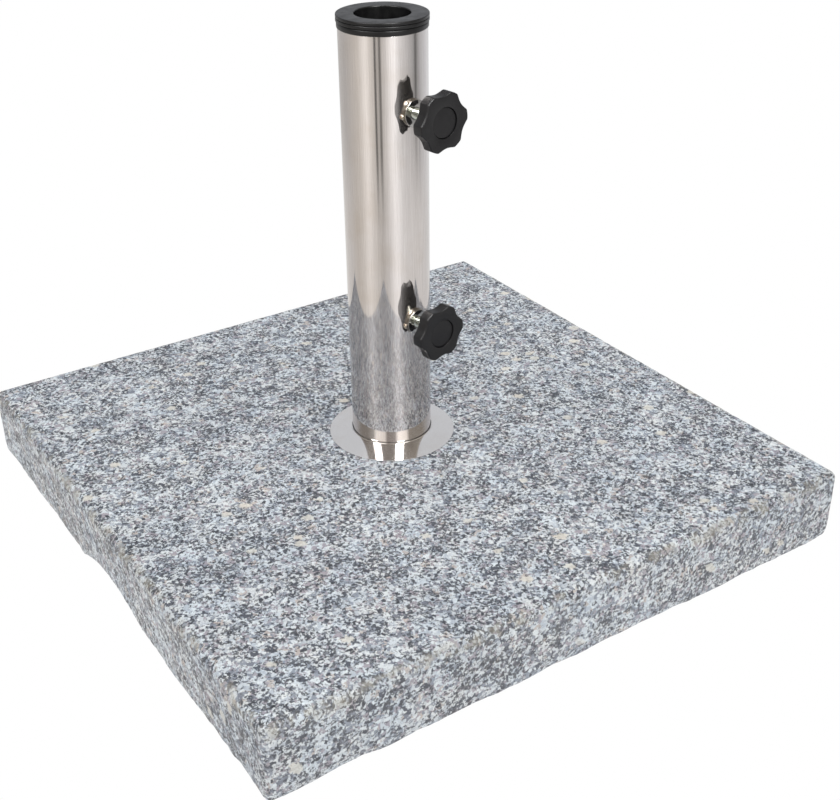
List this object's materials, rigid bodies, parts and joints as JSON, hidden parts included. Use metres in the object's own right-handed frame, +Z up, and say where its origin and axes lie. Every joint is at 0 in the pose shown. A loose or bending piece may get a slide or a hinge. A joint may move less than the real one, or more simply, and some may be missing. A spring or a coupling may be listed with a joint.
{
  "type": "parasol base",
  "caption": "Square granite parasol base with a steel tube, nested reducer sleeves and star-knob clamp screws.",
  "frame": {"origin": "on the ground, under the middle of the slab, on the tube's axis", "axes": "+Z up along the tube, -Y towards the slab's front side, which the clamp knobs face within 8 degrees; the hand grips are in the -X and +X sides"},
  "size_m": [0.5, 0.5, 0.3986],
  "materials": {
    "granite_slab": "light blue-grey granite, flamed top, fine ground sides",
    "rubber_pad_front_left": "black rubber",
    "rubber_pad_front_right": "black rubber",
    "rubber_pad_back_left": "black rubber",
    "rubber_pad_back_right": "black rubber",
    "anchor_bolt": "zinc plated",
    "anchor_washer": "zinc plated",
    "spring_washer": "zinc plated",
    "stand_tube": "stainless steel, brushed along its length",
    "tube_end_plug": "plain mild steel",
    "rosette": "polished stainless steel",
    "reducer_sleeve_outer": "black moulded plastic",
    "reducer_sleeve_middle": "black moulded plastic",
    "reducer_sleeve_inner": "black moulded plastic",
    "upper_weld_boss": "polished stainless steel",
    "upper_clamp_screw": "zinc plated",
    "upper_pressure_pad": "white nylon",
    "upper_knob": "black moulded plastic, fine texture",
    "upper_knob_cap": "black moulded plastic, fine texture",
    "lower_weld_boss": "polished stainless steel",
    "lower_clamp_screw": "zinc plated",
    "lower_pressure_pad": "white nylon",
    "lower_knob": "black moulded plastic, fine texture",
    "lower_knob_cap": "black moulded plastic, fine texture"
  },
  "bodies": {
    "base": {"granite_slab": "granite_slab", "rubber_pad_front_left": "rubber_pad_front_left", "rubber_pad_front_right": "rubber_pad_front_right", "rubber_pad_back_left": "rubber_pad_back_left", "rubber_pad_back_right": "rubber_pad_back_right", "anchor_bolt": "anchor_bolt", "anchor_washer": "anchor_washer", "spring_washer": "spring_washer", "stand_tube": "stand_tube", "tube_end_plug": "tube_end_plug", "rosette": "rosette", "upper_weld_boss": "upper_weld_boss", "lower_weld_boss": "lower_weld_boss"},
    "outer_sleeve": {"reducer_sleeve_outer": "reducer_sleeve_outer"},
    "middle_sleeve": {"reducer_sleeve_middle": "reducer_sleeve_middle"},
    "inner_sleeve": {"reducer_sleeve_inner": "reducer_sleeve_inner"},
    "upper_pad": {"upper_pressure_pad": "upper_pressure_pad"},
    "upper_screw": {"upper_clamp_screw": "upper_clamp_screw", "upper_knob": "upper_knob", "upper_knob_cap": "upper_knob_cap"},
    "lower_pad": {"lower_pressure_pad": "lower_pressure_pad"},
    "lower_screw": {"lower_clamp_screw": "lower_clamp_screw", "lower_knob": "lower_knob", "lower_knob_cap": "lower_knob_cap"}
  },
  "joints": [
    {"name": "outer_sleeve_lift", "type": "slide", "parent": "base", "child": "outer_sleeve", "axis": [0, 0, 1], "range_m": [0, 0.06]},
    {"name": "middle_sleeve_lift", "type": "slide", "parent": "outer_sleeve", "child": "middle_sleeve", "axis": [0, 0, 1], "range_m": [0, 0.06]},
    {"name": "inner_sleeve_lift", "type": "slide", "parent": "middle_sleeve", "child": "inner_sleeve", "axis": [0, 0, 1], "range_m": [0, 0.06]},
    {"name": "upper_screw_feed", "type": "slide", "parent": "base", "child": "upper_pad", "axis": [0.1305, -0.9914, 0], "range_m": [-0.0087, 0.0035]},
    {"name": "upper_screw_turn", "type": "hinge", "parent": "upper_pad", "child": "upper_screw", "pos_m": [0, 0, 0.335], "axis": [0.1305, -0.9914, 0], "range_deg": [-2448, 972]},
    {"name": "lower_screw_feed", "type": "slide", "parent": "base", "child": "lower_pad", "axis": [0.1305, -0.9914, 0], "range_m": [-0.0059, 0.0063]},
    {"name": "lower_screw_turn", "type": "hinge", "parent": "lower_pad", "child": "lower_screw", "pos_m": [0, 0, 0.1735], "axis": [0.1305, -0.9914, 0], "range_deg": [-1656, 1764]}
  ],
  "couplings": [
    {"joint": "upper_screw_feed", "follows": "upper_screw_turn", "m_per_rad": 0.00019894},
    {"joint": "lower_screw_feed", "follows": "lower_screw_turn", "m_per_rad": 0.00019894}
  ]
}
